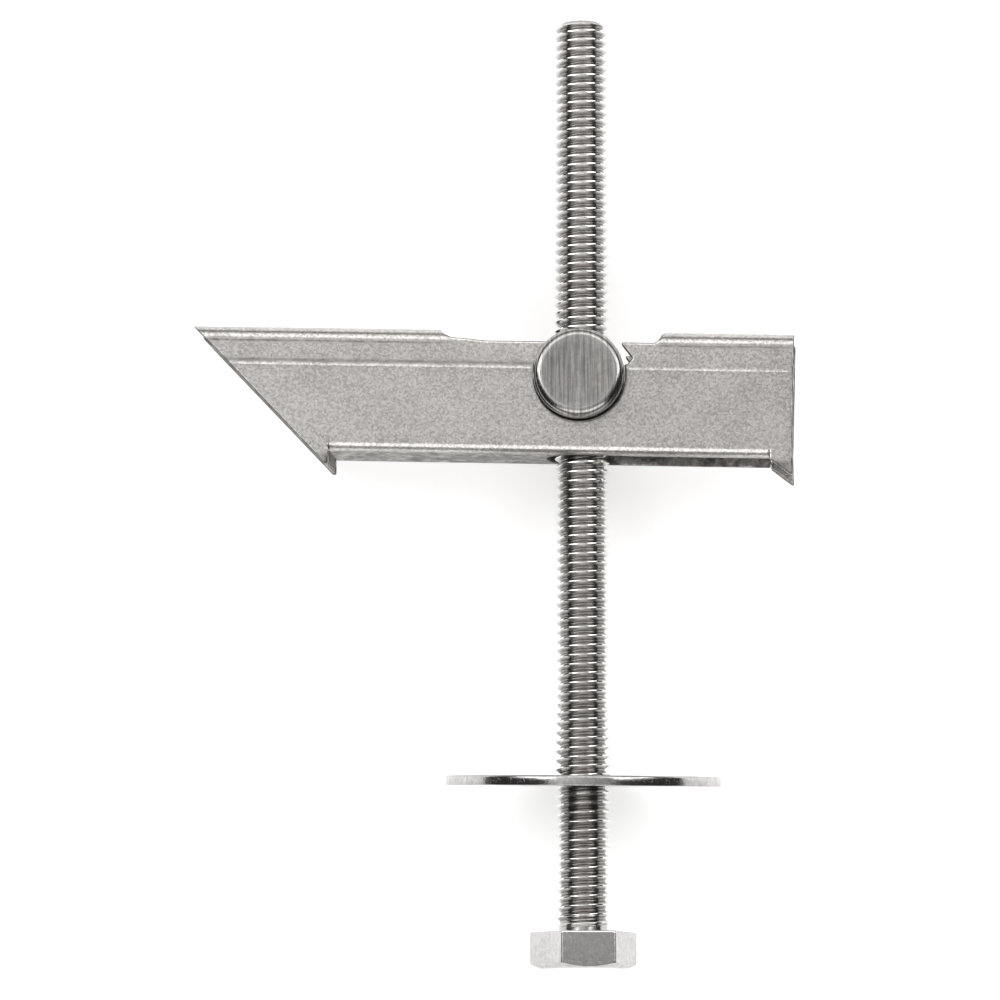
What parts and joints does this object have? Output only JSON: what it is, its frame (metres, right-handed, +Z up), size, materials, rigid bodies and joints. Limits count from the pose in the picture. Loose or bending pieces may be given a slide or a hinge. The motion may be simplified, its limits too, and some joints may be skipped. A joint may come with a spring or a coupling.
{
  "type": "tilting toggle anchor",
  "caption": "Toggle anchor: a hexagon bolt with a washer and a folded steel channel that tilts on a barrel nut to pass through a hole and bear behind a hollow wall.",
  "frame": {"origin": "on the ground, under the middle of the object's box, as it lies", "axes": "+Z up; +Y along the bolt towards its tip, seen from above; +X along the channel, away from its slanted nose"},
  "size_m": [0.0662, 0.104, 0.03],
  "materials": {
    "bolt_zinc": "rolled thread, bright zinc plate",
    "washer_zinc": "punched sheet, bright zinc plate",
    "nut_zinc": "turned bar, bright zinc plate",
    "beam_zinc": "folded sheet, bright zinc plate with fine grain"
  },
  "bodies": {
    "bolt": {"hex_bolt": "bolt_zinc"},
    "washer": {"flat_washer": "washer_zinc"},
    "nut": {"trunnion_nut": "nut_zinc"},
    "beam": {"toggle_beam": "beam_zinc"}
  },
  "joints": [
    {"name": "nut_travel", "type": "slide", "parent": "bolt", "child": "nut", "axis": [0, 0.9894, -0.1452], "range_m": [-0.01, 0.034]},
    {"name": "beam_tilt", "type": "hinge", "parent": "nut", "child": "beam", "pos_m": [0.00951, 0.01205, 0.00865], "axis": [0.0806, -0.1447, -0.9862], "range_deg": [-4.5, 96]},
    {"name": "washer_travel", "type": "slide", "parent": "bolt", "child": "washer", "axis": [0, 0.9894, -0.1452], "range_m": [-0.0151, 0.007]}
  ]
}
